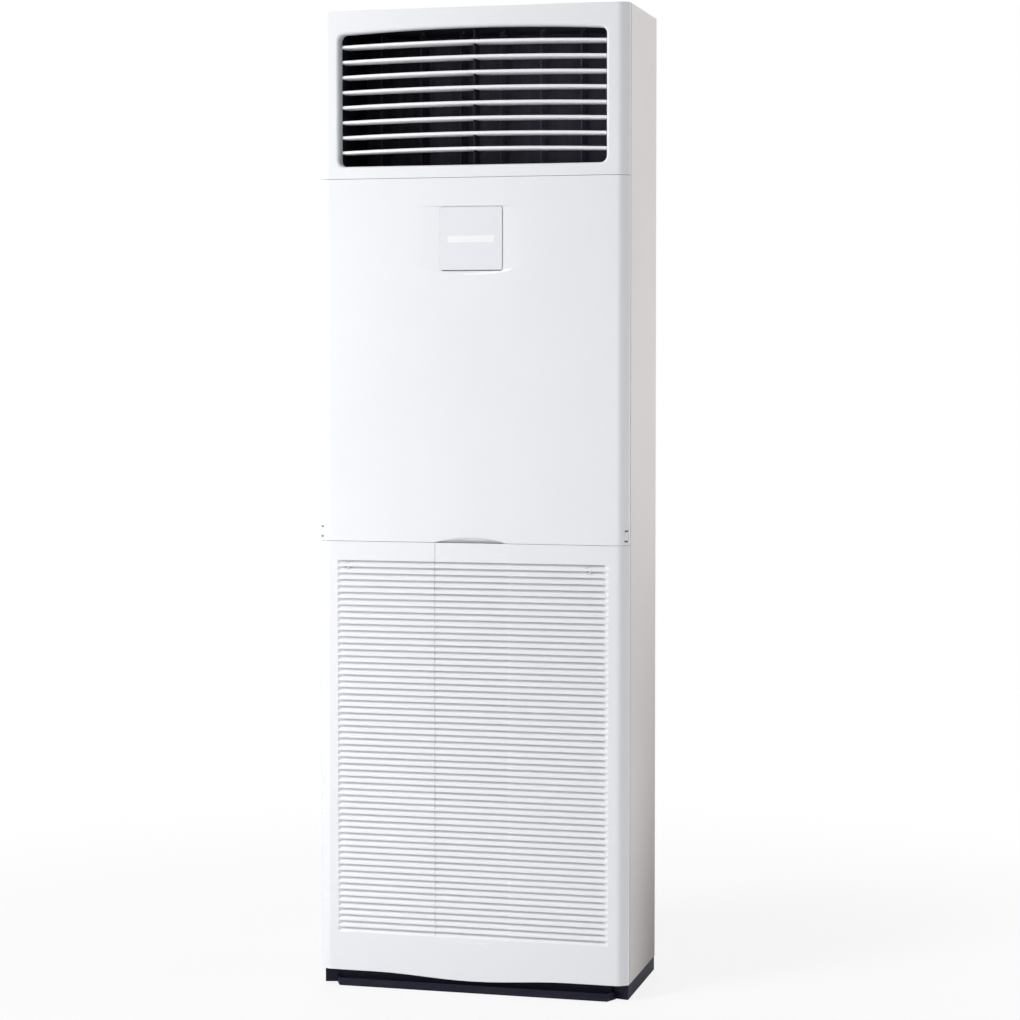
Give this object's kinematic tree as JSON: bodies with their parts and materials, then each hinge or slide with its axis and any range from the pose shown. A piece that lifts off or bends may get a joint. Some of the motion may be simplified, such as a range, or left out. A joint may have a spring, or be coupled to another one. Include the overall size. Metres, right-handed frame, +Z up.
{
  "type": "floor standing air conditioner",
  "caption": "Tall white floor standing air conditioner with swing louvres over a dark air outlet, a plain upper front, a slatted intake grille that tilts open and a black base.",
  "frame": {"origin": "on the floor, below the middle of the cabinet", "axes": "+X to the viewer's right when facing the front, +Y from the front to the back, +Z up"},
  "size_m": [0.6, 0.27, 1.85],
  "materials": {
    "white_moulding": "satin moulded plastic",
    "grille_white": "satin moulded plastic",
    "display_cover": "smooth plastic",
    "clip_grey": "matt plastic",
    "louvre_white": "satin plastic",
    "side_paint": "fine textured powder coat",
    "base_black": "satin black paint",
    "duct_dark": "dark foam lined plastic",
    "vane_dark": "dark matt plastic",
    "hinge_steel": "zinc plated",
    "filter_mesh": "fine woven net in a moulded frame"
  },
  "bodies": {
    "cabinet": {"base_pan": "base_black", "kick_plate": "base_black", "left_foot_rail": "base_black", "right_foot_rail": "base_black", "left_side_panel": "side_paint", "right_side_panel": "side_paint", "rear_panel": "side_paint", "top_panel": "side_paint", "outlet_frame": "white_moulding", "upper_front_panel": "white_moulding", "display_cover": "display_cover", "left_clip": "clip_grey", "right_clip": "clip_grey", "duct_floor": "duct_dark", "duct_ceiling": "duct_dark", "duct_back": "duct_dark", "duct_left_wall": "duct_dark", "duct_right_wall": "duct_dark", "centre_stay": "duct_dark", "left_hinge_bracket": "hinge_steel", "right_hinge_bracket": "hinge_steel", "left_filter_rail": "duct_dark", "right_filter_rail": "duct_dark", "lower_air_filter": "filter_mesh", "upper_air_filter": "filter_mesh"},
    "louvre_1_body": {"louvre_1": "louvre_white"},
    "louvre_2_body": {"louvre_2": "louvre_white"},
    "louvre_3_body": {"louvre_3": "louvre_white"},
    "louvre_4_body": {"louvre_4": "louvre_white"},
    "louvre_5_body": {"louvre_5": "louvre_white"},
    "louvre_6_body": {"louvre_6": "louvre_white"},
    "louvre_7_body": {"louvre_7": "louvre_white"},
    "louvre_8_body": {"louvre_8": "louvre_white"},
    "vane_1_body": {"vane_1": "vane_dark"},
    "vane_2_body": {"vane_2": "vane_dark"},
    "vane_3_body": {"vane_3": "vane_dark"},
    "vane_4_body": {"vane_4": "vane_dark"},
    "vane_5_body": {"vane_5": "vane_dark"},
    "vane_6_body": {"vane_6": "vane_dark"},
    "grille_door": {"intake_grille": "grille_white"}
  },
  "joints": [
    {"name": "louvre_1_swing", "type": "hinge", "parent": "cabinet", "child": "louvre_1_body", "pos_m": [0, -0.09, 1.585], "axis": [1, 0, 0], "range_deg": [-25, 25]},
    {"name": "louvre_2_swing", "type": "hinge", "parent": "cabinet", "child": "louvre_2_body", "pos_m": [0, -0.09, 1.61333], "axis": [1, 0, 0], "range_deg": [-25, 25]},
    {"name": "louvre_3_swing", "type": "hinge", "parent": "cabinet", "child": "louvre_3_body", "pos_m": [0, -0.09, 1.64166], "axis": [1, 0, 0], "range_deg": [-25, 25]},
    {"name": "louvre_4_swing", "type": "hinge", "parent": "cabinet", "child": "louvre_4_body", "pos_m": [0, -0.09, 1.66999], "axis": [1, 0, 0], "range_deg": [-25, 25]},
    {"name": "louvre_5_swing", "type": "hinge", "parent": "cabinet", "child": "louvre_5_body", "pos_m": [0, -0.09, 1.69832], "axis": [1, 0, 0], "range_deg": [-25, 25]},
    {"name": "louvre_6_swing", "type": "hinge", "parent": "cabinet", "child": "louvre_6_body", "pos_m": [0, -0.09, 1.72665], "axis": [1, 0, 0], "range_deg": [-25, 25]},
    {"name": "louvre_7_swing", "type": "hinge", "parent": "cabinet", "child": "louvre_7_body", "pos_m": [0, -0.09, 1.75498], "axis": [1, 0, 0], "range_deg": [-25, 25]},
    {"name": "louvre_8_swing", "type": "hinge", "parent": "cabinet", "child": "louvre_8_body", "pos_m": [0, -0.09, 1.78331], "axis": [1, 0, 0], "range_deg": [-25, 25]},
    {"name": "vane_1_turn", "type": "hinge", "parent": "cabinet", "child": "vane_1_body", "pos_m": [-0.195, -0.043, 1.687], "axis": [0, 0, 1], "range_deg": [-30, 30]},
    {"name": "vane_2_turn", "type": "hinge", "parent": "cabinet", "child": "vane_2_body", "pos_m": [-0.117, -0.043, 1.687], "axis": [0, 0, 1], "range_deg": [-30, 30]},
    {"name": "vane_3_turn", "type": "hinge", "parent": "cabinet", "child": "vane_3_body", "pos_m": [-0.039, -0.043, 1.687], "axis": [0, 0, 1], "range_deg": [-30, 30]},
    {"name": "vane_4_turn", "type": "hinge", "parent": "cabinet", "child": "vane_4_body", "pos_m": [0.039, -0.043, 1.687], "axis": [0, 0, 1], "range_deg": [-30, 30]},
    {"name": "vane_5_turn", "type": "hinge", "parent": "cabinet", "child": "vane_5_body", "pos_m": [0.117, -0.043, 1.687], "axis": [0, 0, 1], "range_deg": [-30, 30]},
    {"name": "vane_6_turn", "type": "hinge", "parent": "cabinet", "child": "vane_6_body", "pos_m": [0.195, -0.043, 1.687], "axis": [0, 0, 1], "range_deg": [-30, 30]},
    {"name": "grille_tilt", "type": "hinge", "parent": "cabinet", "child": "grille_door", "pos_m": [0, -0.1225, 0.036], "axis": [1, 0, 0], "range_deg": [0, 35]}
  ],
  "couplings": [
    {"joint": "louvre_2_swing", "follows": "louvre_1_swing", "ratio": 1},
    {"joint": "louvre_3_swing", "follows": "louvre_1_swing", "ratio": 1},
    {"joint": "louvre_4_swing", "follows": "louvre_1_swing", "ratio": 1},
    {"joint": "louvre_5_swing", "follows": "louvre_1_swing", "ratio": 1},
    {"joint": "louvre_6_swing", "follows": "louvre_1_swing", "ratio": 1},
    {"joint": "louvre_7_swing", "follows": "louvre_1_swing", "ratio": 1},
    {"joint": "louvre_8_swing", "follows": "louvre_1_swing", "ratio": 1},
    {"joint": "vane_2_turn", "follows": "vane_1_turn", "ratio": 1},
    {"joint": "vane_3_turn", "follows": "vane_1_turn", "ratio": 1},
    {"joint": "vane_4_turn", "follows": "vane_1_turn", "ratio": 1},
    {"joint": "vane_5_turn", "follows": "vane_1_turn", "ratio": 1},
    {"joint": "vane_6_turn", "follows": "vane_1_turn", "ratio": 1}
  ]
}
